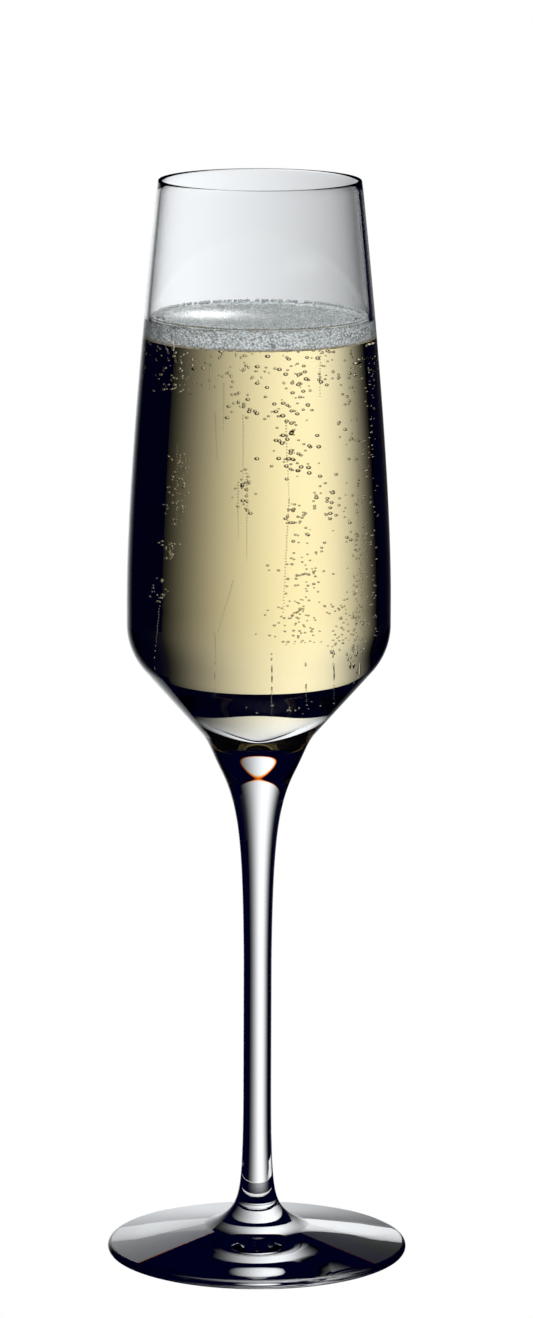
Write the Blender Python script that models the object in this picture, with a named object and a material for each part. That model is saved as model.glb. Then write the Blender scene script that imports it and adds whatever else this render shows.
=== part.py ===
"""A filled champagne flute: a blown crystal bowl on a drawn stem and a pressed foot, with wine and foam.

The flute stands on z = 0 with its axis on +Z. Each piece is turned from one outline of (radius, height)
points, in metres. The outline starts and ends on the axis, or closes on itself.
"""

import math

import bmesh
import bpy

# Driving dimensions, in metres.
HEIGHT = 0.225                  # foot to rim
RIM_RADIUS = 0.0208
BELLY_RADIUS = 0.0272
BELLY_Z = 0.138                 # the widest place, where the side starts to close in
FOOT_RADIUS = 0.0312
FOOT_EDGE = 0.0020              # thickness of the foot at its rounded edge
STEM_RADIUS = 0.00292           # at the slimmest place

# The bowl.
RIM_WALL = 0.0009               # wall thickness at the rim
BELLY_WALL = 0.0013
SIDE_PULL_Z = 0.1646            # where the side's two end tangents meet
SHOULDER_BEND = 0.014           # radius of the shoulder, outside
SHOULDER_TOP_Z = 0.1332
CONE_ANGLE = math.radians(42)   # the cone's side, from the axis
CUP_FLOOR_Z = 0.1125            # lowest place inside the bowl
CUP_FLOOR_PULL = 0.0045         # how wide the rounded floor inside is
CUP_SIDE_PULL_Z = 0.1260        # how low the upright side inside reaches
CUP_SIDE_Z = 0.1340             # where that side starts

# The joints between the three gathers of glass, and the gap that touching pieces keep.
BOWL_JOINT_Z = 0.1103
BOWL_JOINT_RADIUS = 0.01165
FOOT_JOINT_Z = 0.010
GAP = 0.0003

# The stem. Its head narrows in two stretches, with a bend at the neck between them.
HEAD_SLOPE = 0.75               # how far the head's side leans out at the joint, for each metre up
HEAD_PULL = 0.0022
NECK = (0.00753, 0.1021)
NECK_SLOPE = 0.49
NECK_PULL_UP = 0.0048
NECK_PULL_DOWN = 0.0074
SLIM_PULL = (0.00315, 0.086)
STEM_SLIM_TOP_Z = 0.062
STEM_SLIM_LOW_Z = 0.036
STEM_BASE_RADIUS = 0.0048       # on the foot

# The foot.
FOOT_BOSS_PULL = (0.0067, 0.0068)
FOOT_CONE_TOP = (0.0110, 0.0055)    # where the raised middle runs out into the cone
FOOT_REST_RADII = (0.0265, 0.0300)  # the flat ring that the flute stands on
FOOT_HOLLOW = 0.0008                # how far the underside is raised inside that ring

# The wine and its foam.
WINE_Z = 0.1966
FOAM_HEIGHT = 0.0040            # down the glass, from the wine's level
FOAM_WIDTH = 0.0030             # in from the glass
FOAM_CROWN = 0.0006             # how far the foam stands above the wine

SIDES = 48                      # straight sides round each turned piece


def arc(centre, radius, start, end, steps):
    """Points on a circle in the outline's plane, from one angle to the other."""
    angles = [start + (end - start) * step / steps for step in range(steps + 1)]
    return [(centre[0] + radius * math.cos(a), centre[1] + radius * math.sin(a)) for a in angles]


def curve(points, steps):
    """Points on a Bezier curve with three or four control points."""
    order = len(points) - 1
    line = []
    for step in range(steps + 1):
        t = step / steps
        weights = [math.comb(order, i) * t ** i * (1 - t) ** (order - i) for i in range(order + 1)]
        line.append(tuple(sum(w * p[axis] for w, p in zip(weights, points)) for axis in (0, 1)))
    return line


def inset(line, amount):
    """The same line of points, moved square to itself towards its left as it runs."""
    moved = []
    for i, (radius, z) in enumerate(line):
        before = line[max(i - 1, 0)]
        after = line[min(i + 1, len(line) - 1)]
        run = (after[0] - before[0], after[1] - before[1])
        length = math.hypot(*run)
        moved.append((max(radius - run[1] / length * amount, 0.0), z + run[0] / length * amount))
    return moved


def turn(name, outline, material):
    """Turns an outline that starts and ends on the axis, or that closes on itself, into one solid."""
    mesh = bmesh.new()
    closed = outline[0][0] > 0
    points = [mesh.verts.new((radius, 0.0, z)) for radius, z in outline]
    if closed:
        points.append(points[0])
    edges = [mesh.edges.new(pair) for pair in zip(points, points[1:])]
    bmesh.ops.spin(
        mesh, geom=mesh.verts[:] + edges, cent=(0, 0, 0), axis=(0, 0, 1),
        angle=math.tau, steps=SIDES, use_merge=True, use_normal_flip=True,
    )
    bmesh.ops.remove_doubles(mesh, verts=mesh.verts, dist=1e-6)
    bmesh.ops.recalc_face_normals(mesh, faces=mesh.faces)
    data = bpy.data.meshes.new(name)
    mesh.to_mesh(data)
    mesh.free()
    data.shade_smooth()
    data.set_sharp_from_angle(angle=math.radians(35))
    data.materials.append(material)
    piece = bpy.data.objects.new(name, data)
    bpy.context.scene.collection.objects.link(piece)
    return piece


def finish(name, colour, roughness, transmission=0.0, ior=1.45):
    """A Principled material with the piece's colour and gloss."""
    material = bpy.data.materials.new(name)
    material.use_nodes = True
    shader = material.node_tree.nodes["Principled BSDF"]
    shader.inputs["Base Color"].default_value = (*colour, 1.0)
    shader.inputs["Roughness"].default_value = roughness
    shader.inputs["Metallic"].default_value = 0.0
    shader.inputs["Transmission Weight"].default_value = transmission
    shader.inputs["IOR"].default_value = ior
    material.diffuse_color = (*colour, 1.0)
    return material


def side(wall_at_belly, wall_at_rim, steps):
    """The bowl's closing side, from its widest place up to the rim, at a depth inside the outer face."""
    low = BELLY_RADIUS - wall_at_belly
    return curve([(low, BELLY_Z), (low, SIDE_PULL_Z), (RIM_RADIUS - wall_at_rim, HEIGHT)], steps)


def cup():
    """The inside of the bowl, from the middle of its floor up its side to the rim."""
    wall = BELLY_RADIUS - BELLY_WALL
    floor = [(0.0, CUP_FLOOR_Z), (CUP_FLOOR_PULL, CUP_FLOOR_Z), (wall, CUP_SIDE_PULL_Z), (wall, CUP_SIDE_Z)]
    return curve(floor, 12) + side(BELLY_WALL, RIM_WALL, 8)


def radius_at(line, z):
    """The radius of a rising line of points at a height."""
    above = next(i for i, point in enumerate(line) if point[1] >= z)
    (r0, z0), (r1, z1) = line[above - 1], line[above]
    return r0 + (r1 - r0) * (z - z0) / (z1 - z0)


def make_bowl(glass):
    outside = side(0.0, 0.0, 8)[::-1]
    inside = cup()
    outside[0] = (RIM_RADIUS, HEIGHT - RIM_WALL / 3)
    inside[-1] = (RIM_RADIUS - RIM_WALL, HEIGHT - RIM_WALL / 3)
    lip = [(RIM_RADIUS - RIM_WALL / 2, HEIGHT)]
    bend_centre = (BELLY_RADIUS - SHOULDER_BEND, SHOULDER_TOP_Z)
    shoulder = arc(bend_centre, SHOULDER_BEND, 0.0, -CONE_ANGLE, 5)
    low_z = BOWL_JOINT_Z + GAP / 2
    return turn("bowl", inside + lip + outside + shoulder + [(BOWL_JOINT_RADIUS, low_z), (0.0, low_z)], glass)


def make_stem(glass):
    top_z = BOWL_JOINT_Z - GAP / 2
    low_z = FOOT_JOINT_Z + GAP / 2
    head_pull = (BOWL_JOINT_RADIUS - HEAD_SLOPE * HEAD_PULL, top_z - HEAD_PULL)
    neck_above = (NECK[0] + NECK_SLOPE * NECK_PULL_UP, NECK[1] + NECK_PULL_UP)
    neck_below = (NECK[0] - NECK_SLOPE * NECK_PULL_DOWN, NECK[1] - NECK_PULL_DOWN)
    head = curve([(BOWL_JOINT_RADIUS, top_z), head_pull, neck_above, NECK], 6)
    head += curve([NECK, neck_below, SLIM_PULL, (STEM_RADIUS, STEM_SLIM_TOP_Z)], 10)[1:]
    base = curve(
        [(STEM_RADIUS, STEM_SLIM_LOW_Z), (STEM_RADIUS, 0.015), (0.0036, 0.0125), (STEM_BASE_RADIUS, low_z)], 8
    )
    return turn("stem", [(0.0, top_z)] + head + base + [(0.0, low_z)], glass)


def make_foot(glass):
    top_z = FOOT_JOINT_Z - GAP / 2
    boss = curve([(STEM_BASE_RADIUS, top_z), FOOT_BOSS_PULL, FOOT_CONE_TOP], 5)
    edge_bend = FOOT_EDGE / 2
    edge = arc((FOOT_RADIUS - edge_bend, edge_bend), edge_bend, math.radians(78), math.radians(-78), 6)
    inner, outer = FOOT_REST_RADII
    under = [(outer, 0.0), (inner, 0.0), (inner - 0.004, FOOT_HOLLOW * 0.7), (0.0, FOOT_HOLLOW)]
    return turn("foot", [(0.0, top_z)] + boss + edge + under, glass)


def make_champagne(wine):
    """The wine fills the cup up to the foam, and stands inside the foam's ring up to its own level."""
    glass_side = inset(cup(), GAP)
    glass_side[0] = (0.0, CUP_FLOOR_Z + GAP)
    under_foam_z = WINE_Z - FOAM_HEIGHT - GAP
    wetted = [point for point in glass_side if point[1] < under_foam_z]
    wetted.append((radius_at(glass_side, under_foam_z), under_foam_z))
    step_radius = radius_at(glass_side, WINE_Z) - FOAM_WIDTH - GAP
    top = [(step_radius, under_foam_z), (step_radius, WINE_Z), (0.0, WINE_Z)]
    return turn("champagne", wetted + top, wine)


def make_foam_collar(foam):
    glass_side = inset(cup(), GAP)
    low_z = WINE_Z - FOAM_HEIGHT
    crown_z = WINE_Z + FOAM_CROWN
    inner = radius_at(glass_side, WINE_Z) - FOAM_WIDTH
    outer = radius_at(glass_side, crown_z)
    outline = [(inner, low_z), (radius_at(glass_side, low_z), low_z), (outer, WINE_Z),
               ((inner + outer) / 2, crown_z), (inner, WINE_Z)]
    return turn("foam_collar", outline, foam)


def main():
    for leftover in list(bpy.data.objects):
        bpy.data.objects.remove(leftover)
    glass = finish("crystal", (0.95, 0.96, 0.97), 0.02, transmission=1.0, ior=1.5)
    make_bowl(glass)
    make_stem(glass)
    make_foot(glass)
    make_champagne(finish("pale_gold_wine", (0.93, 0.83, 0.46), 0.02, transmission=1.0, ior=1.34))
    make_foam_collar(finish("mousse", (0.78, 0.81, 0.80), 0.45))


main()
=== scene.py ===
import math
import random
from math import cos, pi, radians, sin

import bpy
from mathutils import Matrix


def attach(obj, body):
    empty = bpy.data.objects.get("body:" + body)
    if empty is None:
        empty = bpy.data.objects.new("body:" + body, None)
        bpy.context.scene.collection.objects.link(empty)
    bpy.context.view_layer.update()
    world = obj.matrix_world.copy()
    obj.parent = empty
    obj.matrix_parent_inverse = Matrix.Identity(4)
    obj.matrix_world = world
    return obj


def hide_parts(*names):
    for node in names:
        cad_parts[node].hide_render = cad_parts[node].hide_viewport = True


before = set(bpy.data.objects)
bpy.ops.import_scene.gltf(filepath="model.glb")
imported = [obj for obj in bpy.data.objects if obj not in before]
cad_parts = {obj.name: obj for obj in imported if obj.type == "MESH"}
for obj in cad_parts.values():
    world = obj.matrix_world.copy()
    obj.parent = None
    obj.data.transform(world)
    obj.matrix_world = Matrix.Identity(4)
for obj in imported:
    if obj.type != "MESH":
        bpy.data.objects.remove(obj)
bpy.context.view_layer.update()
scene = bpy.context.scene
draw = random.Random(7)


# The set: a white sweep under and round the flute, and close behind it a strip of light with black on both
# sides, as clear glass is lit. Its upper edge is just above the wine. Strips far off light the other sides of
# the flute. They show in what passes straight through the glass, and not in its inner reflections.
CAMERA_PLACE = (0.0, -1.31708, 0.373577)
CAMERA_TURN = (radians(79.346), radians(-0.184), 0.0)
CAMERA_LENS = 177.66            # millimetres
CAMERA_SHIFT = 0.0031
BOUNCES = 10
CLEAR_BOUNCES = 48              # more faces that let light straight through, as at the joints
FLOOR_REACH = 8.0
STRIP_BACK = 0.34               # metres behind the axis
STRIP_LEFT, STRIP_RIGHT = -0.290, 0.150
STRIP_LOW, STRIP_TOP = -0.150, 0.2135
STRIP_MIDDLE_X = -0.055
STRIP_SPREAD_LEFT = 0.078       # how fast its brightness falls off from its middle
STRIP_SPREAD_RIGHT = 0.077
STRIP_BRIGHTNESS = 1.21
STRIP_FADE = 0.025              # taken off all over, so that its sides end softly
NIGHT = (0.0002, 0.0004, 0.0110, 1.0)
WHITE = (1.0, 1.0, 1.0, 1.0)
COOL_WHITE = (0.955, 0.980, 1.0, 1.0)
STRIP_FRINGE = 0.005            # the warm edge that crystal's spread of colours gives to its top
FRINGE_COLOURS = (
    (0.0, COOL_WHITE), (0.35, (1.0, 0.62, 0.22, 1.0)),
    (0.7, (1.0, 0.20, 0.01, 1.0)), (1.0, (0.3, 0.0, 0.0, 1.0)),
)
FRINGE_FACES = 2.5              # it shows through fewer faces than this, as solid glass has
REFLECTIONS = 0.5               # the far strips show after fewer reflections than this, so after none

bpy.ops.object.select_all(action="DESELECT")
bpy.ops.object.camera_add(location=CAMERA_PLACE, rotation=CAMERA_TURN)
camera = bpy.context.object
camera.name = "camera"
camera.data.lens = CAMERA_LENS
camera.data.shift_x = CAMERA_SHIFT
scene.camera = camera
scene.view_settings.view_transform = "Standard"
scene.cycles.max_bounces = BOUNCES
scene.cycles.transmission_bounces = BOUNCES
scene.cycles.glossy_bounces = BOUNCES
scene.cycles.transparent_max_bounces = CLEAR_BOUNCES
scene.cycles.caustics_reflective = False
scene.cycles.caustics_refractive = False


class Value:
    """An output in a shader's nodes. Arithmetic with it adds Math nodes, also where a number comes first."""

    def __init__(self, tree, socket=None):
        self.tree = tree
        self.socket = socket

    def node(self, kind, settings=None, inputs=None, output=0):
        made = self.tree.nodes.new(kind)
        for name, setting in (settings or {}).items():
            if name == "stops":
                stops = made.color_ramp.elements
                while len(stops) < len(setting):
                    stops.new(1.0)
                for stop, (position, colour) in zip(stops, setting):
                    stop.position = position
                    stop.color = colour
            else:
                setattr(made, name, setting)
        for name, value in (inputs or {}).items():
            if isinstance(value, Value):
                self.tree.links.new(value.socket, made.inputs[name])
            else:
                made.inputs[name].default_value = value
        return Value(self.tree, made.outputs[output])

    def maths(self, operation, *values):
        return self.node("ShaderNodeMath", {"operation": operation}, dict(enumerate(values)))

    def __add__(self, other):
        return self.maths("ADD", self, other)

    def __sub__(self, other):
        return self.maths("SUBTRACT", self, other)

    def __rsub__(self, other):
        return self.maths("SUBTRACT", other, self)

    def __mul__(self, other):
        return self.maths("MULTIPLY", self, other)

    def __truediv__(self, other):
        return self.maths("DIVIDE", self, other)

    def __gt__(self, other):
        return self.maths("GREATER_THAN", self, other)

    def __lt__(self, other):
        return self.maths("LESS_THAN", self, other)

    __radd__ = __add__
    __rmul__ = __mul__

    def bell(self, middle, spread):
        """A bell curve of this value, 1 at its middle."""
        away = (self - middle) / spread
        return self.maths("EXPONENT", away * away * -0.5)

    def part(self, name):
        """X, Y or Z of this vector."""
        return self.node("ShaderNodeSeparateXYZ", None, {0: self}, output=name)

    def between(self, first, second):
        """A colour between two, the first where this value is 0 and the second where it is 1."""
        inputs = {"Factor": self, "A": first, "B": second}
        return self.node("ShaderNodeMix", {"data_type": "RGBA"}, inputs, output="Result")

    def bump(self, strength, height):
        """A surface raised where this value is high."""
        inputs = {"Height": self, "Strength": strength, "Distance": height}
        return self.node("ShaderNodeBump", None, inputs, output="Normal")

    def into(self, shader, name):
        """Links this value to a shader's own socket."""
        self.tree.links.new(self.socket, shader.inputs[name])


def glow(name, colour):
    """An even light of its own, as a material whose strength can be linked."""
    material = bpy.data.materials.new(name)
    material.use_nodes = True
    tree = material.node_tree
    tree.nodes.remove(tree.nodes["Principled BSDF"])
    light = tree.nodes.new("ShaderNodeEmission")
    light.inputs["Color"].default_value = colour
    tree.links.new(light.outputs[0], tree.nodes["Material Output"].inputs["Surface"])
    return material, Value(tree), light


def paper_sheet(name, across, location, rotation, material):
    bpy.ops.object.select_all(action="DESELECT")
    bpy.ops.mesh.primitive_plane_add(size=1.0, location=location, rotation=rotation)
    sheet = bpy.context.object
    sheet.name = name
    sheet.scale = (across[0], across[1], 1.0)
    bpy.ops.object.transform_apply(location=True, rotation=True, scale=True)
    sheet.data.materials.append(material)
    return sheet


white_paper = glow("white_paper", WHITE)[0]
floor = paper_sheet("floor", (2 * FLOOR_REACH, 2 * FLOOR_REACH), (0, 0, 0), (0, 0, 0), white_paper)
floor.visible_transmission = False
floor.visible_glossy = False

strip_light, strip_start, strip_lamp = glow("strip_light", WHITE)
strip_place = strip_start.node("ShaderNodeTexCoord", output="Object")
across = strip_place.part("X")
spread = STRIP_SPREAD_LEFT + (across > STRIP_MIDDLE_X) * (STRIP_SPREAD_RIGHT - STRIP_SPREAD_LEFT)
in_solid_glass = strip_start.node("ShaderNodeLightPath", output="Transmission Depth") < FRINGE_FACES
into_fringe = (strip_place.part("Z") - (STRIP_TOP - STRIP_FRINGE)) / STRIP_FRINGE
fringe = strip_start.node("ShaderNodeValToRGB", {"stops": FRINGE_COLOURS}, {0: into_fringe * in_solid_glass})
fringe.into(strip_lamp, "Color")
faded = across.bell(STRIP_MIDDLE_X, spread) * STRIP_BRIGHTNESS - STRIP_FADE
strip_start.maths("MAXIMUM", faded, 0.0).into(strip_lamp, "Strength")
strip_size = (STRIP_RIGHT - STRIP_LEFT, STRIP_TOP - STRIP_LOW)
strip_middle = ((STRIP_LEFT + STRIP_RIGHT) / 2, STRIP_BACK, (STRIP_TOP + STRIP_LOW) / 2)
strip = paper_sheet("strip", strip_size, strip_middle, (radians(90), 0, 0), strip_light)
strip.visible_camera = False
strip.visible_diffuse = False
strip.visible_shadow = False

surround = bpy.data.worlds.new("surround")
scene.world = surround
surround.use_nodes = True
sky_tree = surround.node_tree
sky = Value(sky_tree)
direction = sky.node("ShaderNodeTexCoord", output="Generated")
rise = direction.part("Z")
bearing = sky.maths("ARCTAN2", direction.part("Y"), direction.part("X"))

# Each far strip: where it stands round the flute, its lower and upper edge as a rise, and its brightness.
FAR_STRIPS = (
    (97, -0.09, 0.19, 1.0), (139, -0.60, -0.33, 1.1), (184, -0.50, 0.18, 1.1), (229, -0.60, 0.10, 1.1),
    (319, -0.60, 0.05, 1.1),
)
FAR_SPREAD = radians(11)
LIT_FROM_BELOW = -0.80          # under this rise the surroundings are white, in place of the sweep
lit = rise < LIT_FROM_BELOW
for stands_at, low, high, brightness in FAR_STRIPS:
    turned = sky.maths("WRAP", bearing - radians(stands_at), pi, -pi)
    lit = turned.bell(0.0, FAR_SPREAD) * (rise > low) * (rise < high) * brightness + lit
straight_through = sky.node("ShaderNodeLightPath", output="Glossy Depth") < REFLECTIONS
light_seen = (lit * straight_through).between(NIGHT, WHITE)
behind_glass = sky.node("ShaderNodeBackground", None, {"Color": light_seen, "Strength": 1.0})
plain = sky.node("ShaderNodeBackground", None, {"Color": WHITE, "Strength": 1.0})
seen_by_camera = sky.node("ShaderNodeLightPath", output="Is Camera Ray")
both = sky.node("ShaderNodeMixShader", None, {0: seen_by_camera, 1: behind_glass, 2: plain})
both.into(sky_tree.nodes["World Output"], "Surface")

# The bowl: clear lead crystal, blown into a mould and cracked off. It has a thin fire-polished rim, sides
# that close in towards it, a shoulder low down, and under it a straight cone of thick glass. Inside, the wine
# stands in a cup that narrows to a rounded point.
RIM_Z = 0.225
RIM_RADIUS = 0.0208
RIM_WALL = 0.0009
BELLY_RADIUS = 0.0272
BELLY_Z = 0.138
BELLY_WALL = 0.0013
SIDE_PULL_Z = 0.1646
SHOULDER_BEND = 0.014
SHOULDER_TOP_Z = 0.1332
CONE_ANGLE = radians(42)
SEAM_Z = 0.1103                 # where the bowl is fused to the stem
SEAM_RADIUS = 0.01165
CUP_FLOOR_Z = 0.1125            # lowest place inside the bowl
CUP_FLOOR_PULL = 0.0045         # how wide the rounded floor inside is
CUP_SIDE_PULL_Z = 0.1260        # how low the upright side inside reaches
CUP_SIDE_Z = 0.1340             # where that side starts
WINE_Z = 0.1966
AROUND = 192
CRYSTAL_IOR = 1.50
WINE_IOR = 1.34
CRYSTAL_WAVINESS = 2e-6         # how far, in metres, the hand-worked surface wanders
WETTED_WAVINESS = 1e-6
SWELLS = 90.0                   # the noise scale of its swells
SMOOTH_UNDER = radians(25)
MERGE_DISTANCE = 2e-6
NEAR = 1e-5                     # a face this close to a level lies on it
LEVEL = 0.99                    # the upright part of a level face's normal, at least
CUP_FLOOR_FACING = 0.9          # the same for the faces in the middle of the cup's floor


def arc(centre, radius, start, end, steps):
    angles = [start + (end - start) * step / steps for step in range(steps + 1)]
    return [(centre[0] + radius * cos(a), centre[1] + radius * sin(a)) for a in angles]


def bezier(points, steps):
    """Points on a Bezier curve with three or four control points."""
    order = len(points) - 1
    line = []
    for step in range(steps + 1):
        t = step / steps
        weights = [math.comb(order, i) * t ** i * (1 - t) ** (order - i) for i in range(order + 1)]
        line.append(tuple(sum(w * p[axis] for w, p in zip(weights, points)) for axis in (0, 1)))
    return line


def radius_at(line, z):
    """The radius of a rising line of points at a height."""
    above = next(i for i, point in enumerate(line) if point[1] >= z)
    (r0, z0), (r1, z1) = line[above - 1], line[above]
    return r0 + (r1 - r0) * (z - z0) / (z1 - z0)


def lathe(name, outline, around=AROUND):
    """Pulls one point along an outline of radii and heights, then spins it round the axis into a solid."""
    bpy.ops.object.select_all(action="DESELECT")
    bpy.ops.mesh.primitive_circle_add(vertices=3, radius=0.001)
    piece = bpy.context.object
    piece.name = name
    bpy.ops.object.mode_set(mode="EDIT")
    bpy.ops.mesh.merge(type="CENTER")
    bpy.ops.transform.translate(value=(outline[0][0], 0, outline[0][1]))
    for (r0, z0), (r1, z1) in zip(outline, outline[1:]):
        bpy.ops.mesh.extrude_region_move(TRANSFORM_OT_translate={"value": (r1 - r0, 0, z1 - z0)})
    bpy.ops.mesh.select_all(action="SELECT")
    bpy.ops.mesh.spin(steps=around, angle=2 * pi, center=(0, 0, 0), axis=(0, 0, 1))
    bpy.ops.mesh.select_all(action="SELECT")
    bpy.ops.mesh.remove_doubles(threshold=MERGE_DISTANCE)
    bpy.ops.mesh.normals_make_consistent(inside=False)
    bpy.ops.object.mode_set(mode="OBJECT")
    bpy.ops.object.shade_smooth_by_angle(angle=SMOOTH_UNDER)
    return piece


def finish(name):
    """A new material and its shader."""
    material = bpy.data.materials.new(name)
    material.use_nodes = True
    return material, material.node_tree.nodes["Principled BSDF"]


def clear(name, ior, alpha=1.0, waviness=0.0):
    """Clear glass or wine, with or without a hand-worked surface."""
    material, shader = finish(name)
    shader.inputs["Base Color"].default_value = WHITE
    shader.inputs["Roughness"].default_value = 0.0
    shader.inputs["IOR"].default_value = ior
    shader.inputs["Transmission Weight"].default_value = 1.0
    shader.inputs["Alpha"].default_value = alpha
    if waviness:
        start = Value(material.node_tree)
        place = start.node("ShaderNodeTexCoord", output="Object")
        swell = start.node("ShaderNodeTexNoise", None, {"Vector": place, "Scale": SWELLS, "Detail": 1.0})
        swell.bump(1.0, waviness).into(shader, "Normal")
    return material


def paint(piece, materials, choose):
    """Gives the piece its materials, and each face the one that choose(face centre, face normal) picks."""
    for material in materials:
        piece.data.materials.append(material)
    for face in piece.data.polygons:
        face.material_index = choose(face.center, face.normal)


def faces_axis(centre, normal):
    return centre.x * normal.x + centre.y * normal.y < 0


def cup(gap=0.0):
    """The inside of the bowl, from the middle of its floor up to the rim, or a little inside it."""
    reach = BELLY_RADIUS - BELLY_WALL - gap
    floor_z = CUP_FLOOR_Z + gap
    floor_and_side = [(0, floor_z), (CUP_FLOOR_PULL, floor_z), (reach, CUP_SIDE_PULL_Z), (reach, CUP_SIDE_Z)]
    to_rim = [(reach, BELLY_Z), (reach, SIDE_PULL_Z), (RIM_RADIUS - RIM_WALL - gap, RIM_Z)]
    line = bezier(floor_and_side, steps=48) + bezier(to_rim, steps=60)
    level = (radius_at(line, WINE_Z), WINE_Z)
    return [p for p in line if p[1] < WINE_Z] + [level] + [p for p in line if p[1] > WINE_Z]


def bowl_finish(centre, normal):
    """Picks crystal, or wetted crystal inside below the wine's level, or the joint under the seam."""
    if normal.z < -LEVEL and centre.z < SEAM_Z + NEAR:
        return 2
    in_cup = faces_axis(centre, normal) or normal.z > CUP_FLOOR_FACING
    return 1 if in_cup and centre.z < WINE_Z else 0


crystal = clear("crystal", CRYSTAL_IOR, waviness=CRYSTAL_WAVINESS)
wetted_crystal = clear("wetted_crystal", CRYSTAL_IOR / WINE_IOR, waviness=WETTED_WAVINESS)
fused_joint = clear("fused_joint", CRYSTAL_IOR, alpha=0.0)

lip = arc((RIM_RADIUS - RIM_WALL / 2, RIM_Z - RIM_WALL / 2), RIM_WALL / 2, pi, 0, steps=8)
outside = bezier([(RIM_RADIUS, RIM_Z), (BELLY_RADIUS, SIDE_PULL_Z), (BELLY_RADIUS, BELLY_Z)], steps=40)
shoulder = arc((BELLY_RADIUS - SHOULDER_BEND, SHOULDER_TOP_Z), SHOULDER_BEND, 0, -CONE_ANGLE, steps=16)
below_lip = RIM_Z - RIM_WALL / 2
bowl_outline = (
    [p for p in cup() if p[1] < below_lip] + lip + [p for p in outside if p[1] < below_lip]
    + shoulder + [(SEAM_RADIUS, SEAM_Z), (0, SEAM_Z)]
)
bowl = lathe("crystal_bowl", bowl_outline)
paint(bowl, [crystal, wetted_crystal, fused_joint], bowl_finish)
bowl.visible_shadow = False
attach(bowl, "root")
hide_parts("bowl")

# The stem: a solid gather of the same crystal, drawn out thin by hand. Its flared head is fused to the bowl's
# cone, where a faint seam shows, and its lower end widens onto the foot.
STEM_RADIUS = 0.00292
NECK = (0.00753, 0.1021)        # half-way down the flared head
NECK_SLOPE = 0.49
NECK_PULL_UP, NECK_PULL_DOWN = 0.0048, 0.0074
SEAM_SLOPE = 0.75
SEAM_PULL = 0.0022
HEAD_END_PULL = (0.00315, 0.086)
SLIM_TOP_Z = 0.062
SLIM_LOW_Z = 0.036
BASE_PULL_Z = 0.015
BASE_PULL = (0.0036, 0.0125)
FOOT_JOINT_Z = 0.010
STEM_BASE_RADIUS = 0.0048

seam_pull = (SEAM_RADIUS - SEAM_SLOPE * SEAM_PULL, SEAM_Z - SEAM_PULL)
above_neck = (NECK[0] + NECK_SLOPE * NECK_PULL_UP, NECK[1] + NECK_PULL_UP)
below_neck = (NECK[0] - NECK_SLOPE * NECK_PULL_DOWN, NECK[1] - NECK_PULL_DOWN)
head = bezier([(SEAM_RADIUS, SEAM_Z), seam_pull, above_neck, NECK], steps=40)
head += bezier([NECK, below_neck, HEAD_END_PULL, (STEM_RADIUS, SLIM_TOP_Z)], steps=48)[1:]
base_end = (STEM_BASE_RADIUS, FOOT_JOINT_Z)
base = bezier([(STEM_RADIUS, SLIM_LOW_Z), (STEM_RADIUS, BASE_PULL_Z), BASE_PULL, base_end], steps=40)
stem = lathe("crystal_stem", [(0, SEAM_Z)] + head + base + [(0, FOOT_JOINT_Z)])
paint(stem, [crystal, fused_joint], lambda centre, normal: 1 if abs(normal.z) > LEVEL else 0)
stem.visible_shadow = False
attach(stem, "root")
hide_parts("stem")

# The foot: crystal pressed and spun into a thin disc while hot, with a raised middle that the stem is fused
# to, a rounded edge, and a slightly hollow underside, so that it rests on a ring.
FOOT_RADIUS = 0.0312
FOOT_EDGE = 0.0010              # radius of the rounded edge
EDGE_TURN = radians(78)         # how far it turns above and below its middle
BOSS_PULL = (0.0067, 0.0068)
BOSS_END = (0.0110, 0.0055)
REST_OUTER = 0.0300
REST_INNER = 0.0265
HOLLOW_Z = 0.0008
HOLLOW_PULL = (0.022, 0.0)
HOLLOW_ROOF_PULL = 0.012

boss = bezier([(STEM_BASE_RADIUS, FOOT_JOINT_Z), BOSS_PULL, BOSS_END], steps=20)
edge = arc((FOOT_RADIUS - FOOT_EDGE, FOOT_EDGE), FOOT_EDGE, EDGE_TURN, -EDGE_TURN, steps=16)
hollow = bezier([(REST_INNER, 0), HOLLOW_PULL, (HOLLOW_ROOF_PULL, HOLLOW_Z), (0, HOLLOW_Z)], steps=30)
foot = lathe("crystal_foot", [(0, FOOT_JOINT_Z)] + boss + edge + [(REST_OUTER, 0)] + hollow)
paint(foot, [crystal, fused_joint], lambda centre, normal: 1 if centre.z > FOOT_JOINT_Z - NEAR else 0)
foot.visible_shadow = False
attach(foot, "root")
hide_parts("foot")

# The champagne: pale gold wine that fills the cup to its level. Its side takes the cup's shape and adds no
# bending of its own, because the glass that it wets already has the step from crystal to wine.
WINE_GAP = 0.00003
WINE_TINT = (0.985, 0.815, 0.205, 1.0)
WINE_DENSITY = 20.0
SKIN_CELLS = 2400.0             # the fine cells that rising gas makes in its surface
SKIN_STRENGTH = 0.10
SKIN_HEIGHT = 0.00002


def wine_finish(name, ior):
    material = clear(name, ior)
    tree = material.node_tree
    tint = tree.nodes.new("ShaderNodeVolumeAbsorption")
    tint.inputs["Color"].default_value = WINE_TINT
    tint.inputs["Density"].default_value = WINE_DENSITY
    tree.links.new(tint.outputs[0], tree.nodes["Material Output"].inputs["Volume"])
    return material


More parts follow.
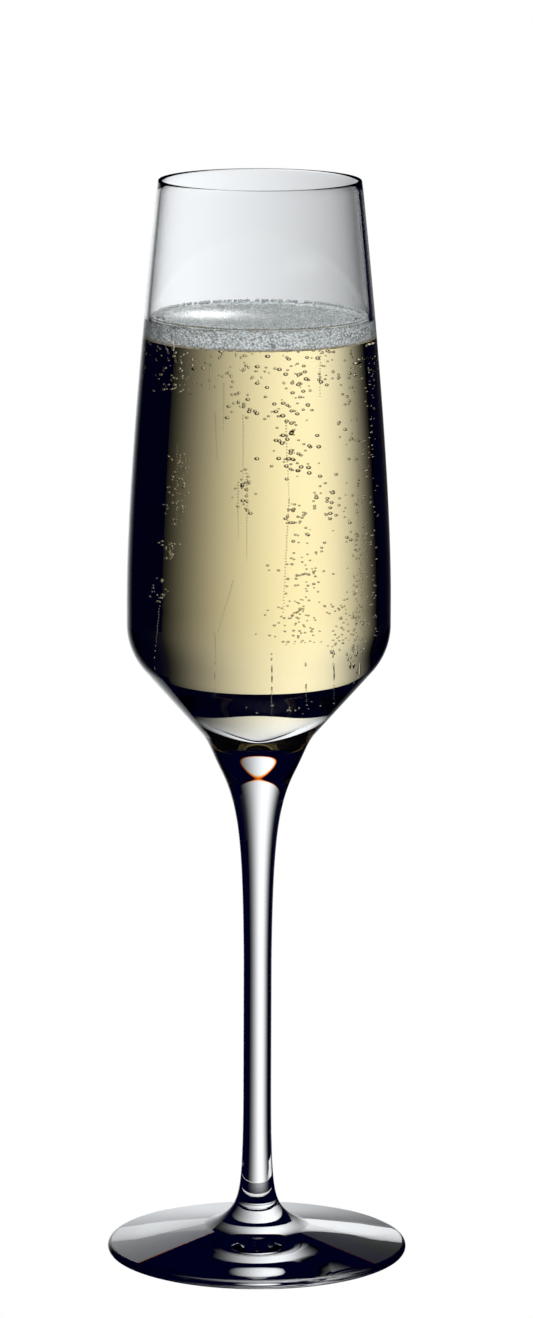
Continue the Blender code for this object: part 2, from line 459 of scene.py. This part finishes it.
wine_side = wine_finish("wine_side", 1.0)
wine_top = wine_finish("wine_top", WINE_IOR)
wine_skin = Value(wine_top.node_tree)
wine_place = wine_skin.node("ShaderNodeTexCoord", output="Object")
skin_cells = wine_skin.node("ShaderNodeTexVoronoi", None, {"Vector": wine_place, "Scale": SKIN_CELLS})
skin_cells.bump(SKIN_STRENGTH, SKIN_HEIGHT).into(wine_top.node_tree.nodes["Principled BSDF"], "Normal")
wetted = [p for p in cup(WINE_GAP) if p[1] <= WINE_Z]
wine = lathe("champagne", wetted + [(0, WINE_Z)])
paint(wine, [wine_side, wine_top], lambda centre, normal: 1 if centre.z > WINE_Z - NEAR else 0)
wine.visible_shadow = False
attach(wine, "root")
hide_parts("champagne")

# The mousse: a ring of fine foam that clings to the glass at the wine's level. It is mostly gas, in bubbles
# less than half a millimetre wide, packed like cells. Its crown stands a little above the wine. Wine shows
# gold in its thin lower edge, and a dark gold line is painted along its inner edge on the near half only.
FOAM_HEIGHT = 0.0040
FOAM_WIDTH = 0.0030
FOAM_CROWN = 0.0007
CROWN_AT_GLASS = 0.6            # of the crown's height, where it meets the glass
CROWN_PULL = (0.001, 1.3)       # how far in, and how much of the crown's height
FOAM_LOW_PULL = (0.0008, 0.0001)
FOAM_INNER_PULL = 0.003         # how far under the wine's level its inner side is still upright
FOAM_INNER_TOP = 0.0004
FOAM_GAP = 0.00010
FOAM_STEP = 0.00022             # between points of its outline, fine enough for its blisters
FOAM_AROUND = 640
LUMP = 0.0022                   # size of its uneven lumps
LUMP_DEPTH = 0.00030
BLISTER = 0.00042               # from one blister to the next
BLISTER_DEPTH = 0.00016
FOAM_PALE, FOAM_SHADED = (0.76, 0.80, 0.81, 1.0), (0.20, 0.23, 0.24, 1.0)
FOAM_GOLD = (0.17, 0.12, 0.04, 1.0)
FOAM_ROUGHNESS = 0.30
CELL_SHADE, DRIFT_SHADE = 1.3, 0.4      # how much its cells paint shade where blisters meet, and how much its drifts darken it at random
SHADE_START = 0.42
LOWER_GOLD = (0.0003, 0.00035)  # how far in from that edge the gold lies, and its spread
INNER_GOLD = (0.0015, 0.0006)
GOLD_BEFORE = -0.002            # the inner edge is gold only this far in front of the axis
GOLD_STRENGTH = 0.9
EDGE_WANDER = 0.0004
DRIFTS = 420.0                  # noise scale of the drifts of paler and darker foam
BLISTER_BUMP, BLISTER_BUMP_HEIGHT = 0.6, 0.0002


def evenly(line, step):
    """The same line with points at even distances."""
    made = [line[0]]
    for start, end in zip(line, line[1:]):
        pieces = max(1, round(math.dist(start, end) / step))
        made += [
            (start[0] + (end[0] - start[0]) * i / pieces, start[1] + (end[1] - start[1]) * i / pieces)
            for i in range(1, pieces + 1)
        ]
    return made


def displace(piece, kind, size, depth):
    """Sinks a piece's surface along its normals by one of Blender's own procedural patterns."""
    pattern = bpy.data.textures.new(f"{piece.name}_{kind}", kind)
    pattern.noise_scale = size
    bpy.context.view_layer.objects.active = piece
    lift = piece.modifiers.new("lift", "DISPLACE")
    lift.texture = pattern
    lift.texture_coords = "LOCAL"
    lift.strength = depth
    lift.mid_level = 1.0
    bpy.ops.object.modifier_apply(modifier="lift")


foam_wall = cup(FOAM_GAP)
foam_low_z = WINE_Z - FOAM_HEIGHT
foam_inner = radius_at(foam_wall, WINE_Z) - FOAM_WIDTH
foam_low = (radius_at(foam_wall, foam_low_z), foam_low_z)
foam_high_z = WINE_Z + FOAM_CROWN * CROWN_AT_GLASS
foam_high = (radius_at(foam_wall, foam_high_z), foam_high_z)
foam_turn = (foam_inner, WINE_Z - FOAM_INNER_TOP)
low_pull = (foam_low[0] - FOAM_LOW_PULL[0], foam_low_z - FOAM_LOW_PULL[1])
crown_pull = (foam_inner + CROWN_PULL[0], WINE_Z + FOAM_CROWN * CROWN_PULL[1])
foam_body = bezier([foam_low, low_pull, (foam_inner, WINE_Z - FOAM_INNER_PULL), foam_turn], steps=12)
foam_crown = bezier([foam_turn, (foam_inner, WINE_Z + FOAM_CROWN), crown_pull, foam_high], steps=12)
foam = lathe("foam_ring", evenly(foam_body + foam_crown[1:] + [foam_low], FOAM_STEP), around=FOAM_AROUND)
displace(foam, "CLOUDS", LUMP, LUMP_DEPTH)
displace(foam, "VORONOI", BLISTER, BLISTER_DEPTH)
bpy.ops.object.shade_smooth()


def froth(name):
    """A foam's material and shader, its place, and the two patterns that colour it, cells and drifts."""
    material, shader = finish(name)
    start = Value(material.node_tree)
    place = start.node("ShaderNodeTexCoord", output="Object")
    cells = start.node("ShaderNodeTexVoronoi", None, {"Vector": place, "Scale": 1 / BLISTER})
    drifts = start.node("ShaderNodeTexNoise", None, {"Vector": place, "Scale": DRIFTS, "Detail": 3.0})
    shader.inputs["Roughness"].default_value = FOAM_ROUGHNESS
    cells.bump(BLISTER_BUMP, BLISTER_BUMP_HEIGHT).into(shader, "Normal")
    return material, shader, place, cells, drifts


mousse, mousse_shader, place, cells, drifts = froth("mousse")
# Painted shade: the cells darken each blister towards its edges, where blisters meet; the drifts vary its
# tone at random.
foam_tone_and_shade = (cells * CELL_SHADE + drifts * DRIFT_SHADE - SHADE_START).between(FOAM_PALE, FOAM_SHADED)
foam_rise = place.part("Z") + drifts * EDGE_WANDER
from_side, from_front = place.part("X"), place.part("Y")
foam_reach = place.maths("SQRT", from_side * from_side + from_front * from_front)
lower_edge = foam_rise.bell(foam_low_z + LOWER_GOLD[0], LOWER_GOLD[1])
inner_edge = foam_reach.bell(foam_inner + INNER_GOLD[0], INNER_GOLD[1]) * (from_front < GOLD_BEFORE)
gold = place.maths("MAXIMUM", lower_edge, inner_edge) * GOLD_STRENGTH
gold.between(foam_tone_and_shade, FOAM_GOLD).into(mousse_shader, "Base Color")
foam.data.materials.append(mousse)
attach(foam, "root")
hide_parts("foam_collar")

# The bubbles: beads of gas. They rise in trains from specks on the glass, and float in loose crowds. Wine in
# a round glass spreads out sideways what lies further back in it. One bead is copied to every place.
BEAD_IOR = 1.45                 # a solid clear bead stands in for the gas
BEAD_WAVINESS = 1e-6


def make_beads(name, places, material, segments=8, rings=6):
    """Copies one round bead to each (x, y, z, radius), and joins the copies into one piece."""
    bpy.ops.object.select_all(action="DESELECT")
    bpy.ops.mesh.primitive_uv_sphere_add(segments=segments, ring_count=rings, radius=1.0)
    pattern = bpy.context.object
    pattern.name = name
    bpy.ops.object.shade_smooth()
    pattern.data.materials.append(material)
    for x, y, z, radius in places[1:]:
        copy = pattern.copy()
        copy.data = pattern.data.copy()
        copy.location = (x, y, z)
        copy.scale = (radius, radius, radius)
        scene.collection.objects.link(copy)
        copy.select_set(True)
    x, y, z, radius = places[0]
    pattern.location = (x, y, z)
    pattern.scale = (radius, radius, radius)
    bpy.context.view_layer.update()
    bpy.ops.object.transform_apply(location=True, rotation=True, scale=True)
    bpy.ops.object.join()
    pattern.visible_shadow = False
    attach(pattern, "root")
    return pattern


inside = cup()
bead_film = clear("bead_film", BEAD_IOR, waviness=BEAD_WAVINESS)


def at_wall(angle, z, depth, radius):
    """A bead's place by its angle round the flute in degrees, its height, and how far in it floats."""
    reach = radius_at(inside, z) - depth
    return (reach * cos(radians(angle)), reach * sin(radians(angle)), z, radius)


def afloat(side, back, z, radius):
    """A bead's place by how far to the side it shows from the front, and how far behind the axis it is."""
    depth = 1 + back / (BELLY_RADIUS - BELLY_WALL)
    magnified = WINE_IOR / depth / (WINE_IOR / depth - (WINE_IOR - 1))
    x = side / magnified
    room = (radius_at(inside, z) - 3 * radius) / math.hypot(x, back)
    return (x * min(room, 1.0), back * min(room, 1.0), z, radius)


# Each crowd: how many, where its middle shows and its spread, its lowest and highest place, its largest bead.
CROWDS = (
    (45, -0.0170, 0.0022, 0.181, 0.190, 0.00030), (60, -0.0168, 0.0012, 0.154, 0.168, 0.00026),
    (25, -0.0183, 0.0010, 0.147, 0.151, 0.00026), (25, -0.0209, 0.0009, 0.138, 0.143, 0.00022),
    (70, 0.0050, 0.0095, 0.182, 0.190, 0.00038), (20, -0.0036, 0.0012, 0.176, 0.181, 0.00036),
    (90, 0.0065, 0.0028, 0.163, 0.182, 0.00040), (25, -0.0030, 0.0009, 0.154, 0.165, 0.00032),
    (30, 0.0088, 0.0018, 0.151, 0.159, 0.00032), (22, 0.0145, 0.0014, 0.155, 0.164, 0.00036),
    (90, 0.0205, 0.0022, 0.150, 0.186, 0.00030), (50, 0.0105, 0.0025, 0.140, 0.150, 0.00026),
    (150, 0.0209, 0.0015, 0.126, 0.152, 0.00022), (75, 0.0076, 0.0030, 0.129, 0.139, 0.00022),
    (50, 0.0171, 0.0016, 0.127, 0.139, 0.00022), (60, 0.0248, 0.0008, 0.130, 0.188, 0.00022),
    (16, 0.0070, 0.0050, 0.1185, 0.1225, 0.00024),
)
SMALLEST = 0.00013
CROWD_BACK = (0.001, 0.016)     # how far behind the axis they float, in the middle
UNDER_FOAM = 160
UNDER_FOAM_GAP = 0.0006
UNDER_FOAM_REACH = 0.009        # how far down from the foam the last of them hang
UNDER_FOAM_DEPTH = (0.0005, 0.0040)
UNDER_FOAM_SIZE = (0.00016, 0.00034)
crowd = []
for count, middle, spread_by, low, high, largest in CROWDS:
    for _ in range(count):
        side = draw.gauss(middle, spread_by)
        back = draw.uniform(*CROWD_BACK) * max(0.0, 1 - abs(side) / BELLY_RADIUS)
        crowd.append(afloat(side, back, draw.uniform(low, high), draw.uniform(SMALLEST, largest)))
for _ in range(UNDER_FOAM):
    z = foam_low_z - UNDER_FOAM_GAP - draw.uniform(0.0, 1.0) ** 2 * UNDER_FOAM_REACH
    angle = draw.uniform(-180, 180)
    crowd.append(at_wall(angle, z, draw.uniform(*UNDER_FOAM_DEPTH), draw.uniform(*UNDER_FOAM_SIZE)))
make_beads("floating_bubbles", crowd, bead_film)

# Each train: where its lowest and its highest bead show, and their heights.
TRAINS = (
    (-0.0101, -0.0101, 0.181, 0.187), (-0.0086, -0.0091, 0.167, 0.177), (-0.0074, -0.0072, 0.173, 0.183),
    (-0.0043, -0.0043, 0.151, 0.163), (-0.0033, -0.0033, 0.164, 0.177), (-0.0025, -0.0025, 0.147, 0.165),
    (0.0124, 0.0124, 0.180, 0.190), (0.0062, 0.0054, 0.159, 0.175), (0.0051, 0.0062, 0.1355, 0.159),
    (-0.0171, -0.0171, 0.154, 0.171), (0.0208, 0.0208, 0.154, 0.175), (-0.0084, -0.0051, 0.132, 0.143),
    (-0.0224, -0.0208, 0.123, 0.138), (-0.0089, -0.0089, 0.1235, 0.1325), (0.0027, 0.0027, 0.1185, 0.1275),
    (0.0097, 0.0097, 0.1225, 0.127), (0.0154, 0.0154, 0.121, 0.129), (0.0200, 0.0200, 0.1235, 0.131),
)
TRAIN_STEP = 0.0006
TRAIN_BACK = (0.002, 0.013)
TRAIN_SWAY = 0.00004
TRAIN_SIZE = 0.00010            # a bead's radius where it sets off
TRAIN_GROWTH = 0.00005          # how much it has grown at the top
rising = []
for low_side, high_side, low, high in TRAINS:
    back = draw.uniform(*TRAIN_BACK) * (1 - abs(low_side) / BELLY_RADIUS)
    beads = int((high - low) / TRAIN_STEP)
    for step in range(beads):
        along = step / beads
        side = low_side + (high_side - low_side) * along + draw.gauss(0, TRAIN_SWAY)
        rising.append(afloat(side, back, low + (high - low) * along, TRAIN_SIZE + TRAIN_GROWTH * along))
make_beads("rising_bubbles", rising, bead_film, segments=6, rings=4)

# The film: a thin skin of loose fine froth afloat on the wine, with a painted highlight: a white patch
# towards the back on the left that stands in for a lamp's reflection. Small bubbles lie all over it, with a
# row of larger ones along the glass. Its underside is painted near-black, a painted shade that keeps it dark
# through the wine.
SKIN_LOW, SKIN_HIGH = 0.00002, 0.00005      # its two faces, above the wine
FILM_SHADED, FILM_WHITE = (0.25, 0.275, 0.28, 1.0), (0.95, 0.97, 0.97, 1.0)
# painted shade: the near-black colour of the skin's underside
UNDERSIDE_SHADE_PAINT = (0.012, 0.012, 0.010, 1.0)
CELL_WHITE, DRIFT_WHITE = 0.5, 0.35
WHITE_START = 0.22
# painted highlight: where the white patch painted on the film lies, to the side and to the back, and its
# spread
HIGHLIGHT_SIDE, HIGHLIGHT_SIDE_SPREAD = -0.0105, 0.0050
HIGHLIGHT_BACK, HIGHLIGHT_BACK_SPREAD = 0.0035, 0.0045
FILM_BEADS = 4500
FILM_RISE = 0.00022             # their middles above the wine
FILM_SIZE = (0.00011, 0.00020)
TOWARDS_GLASS = 1.5             # how much closer they lie near the foam than in the middle
CROWN_BEADS = 420
CROWN_SIZE = (0.00020, 0.00036)
CROWN_NEAR, CROWN_FAR = 0.00045, 0.0011     # in from where the foam meets the glass

film_froth, film_shader, place, cells, drifts = froth("film_froth")
highlight_side = place.part("X").bell(HIGHLIGHT_SIDE, HIGHLIGHT_SIDE_SPREAD)
highlight_back = place.part("Y").bell(HIGHLIGHT_BACK, HIGHLIGHT_BACK_SPREAD)
# painted highlight: the patch adds white where a lamp's reflection would show; the drifts and cells vary its
# tone
tone_and_highlight = highlight_side * highlight_back + drifts * DRIFT_WHITE + cells * CELL_WHITE - WHITE_START
tone_and_highlight.between(FILM_SHADED, FILM_WHITE).into(film_shader, "Base Color")

# Painted shade: the skin's underside is painted near-black and matte, so that the floor's light, which no
# glass blocks, doesn't show on it.
froth_painted_shade, underside_shader = finish("froth_painted_shade")
underside_shader.inputs["Base Color"].default_value = UNDERSIDE_SHADE_PAINT
underside_shader.inputs["Specular IOR Level"].default_value = 0.0
low_z, high_z = WINE_Z + SKIN_LOW, WINE_Z + SKIN_HIGH
froth_skin = lathe("froth_skin", [(0, low_z), (foam_inner, low_z), (foam_inner, high_z), (0, high_z)])
paint(froth_skin, [film_froth, froth_painted_shade], lambda centre, normal: 1 if normal.z < -LEVEL else 0)
froth_skin.visible_shadow = False
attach(froth_skin, "root")

film = []
for _ in range(FILM_BEADS):
    reach = foam_inner * (1 - draw.uniform(0, 1) ** TOWARDS_GLASS)
    turn = draw.uniform(0, 2 * pi)
    film.append((reach * cos(turn), reach * sin(turn), WINE_Z + FILM_RISE, draw.uniform(*FILM_SIZE)))
make_beads("surface_film", film, film_froth, segments=6, rings=4)
crown_beads = []
for _ in range(CROWN_BEADS):
    reach = draw.uniform(foam_high[0] - CROWN_FAR, foam_high[0] - CROWN_NEAR)
    turn = draw.uniform(0, 2 * pi)
    crown_beads.append((reach * cos(turn), reach * sin(turn), WINE_Z + FOAM_CROWN, draw.uniform(*CROWN_SIZE)))
make_beads("crown_bubbles", crown_beads, film_froth)

# The light for the mousse: a softbox high in front of the flute and a little to its right. The clear glass
# doesn't show it.
SOFTBOX_PLACE = (0.10, -0.60, 0.90)
SOFTBOX_TURN = (radians(40), 0, radians(9))
SOFTBOX_SIZE = 0.6
SOFTBOX_WATTS = 14.0

bpy.ops.object.light_add(type="AREA", location=SOFTBOX_PLACE, rotation=SOFTBOX_TURN)
softbox = bpy.context.object
softbox.name = "softbox"
softbox.data.size = SOFTBOX_SIZE
softbox.data.energy = SOFTBOX_WATTS
softbox.visible_glossy = False
softbox.visible_transmission = False
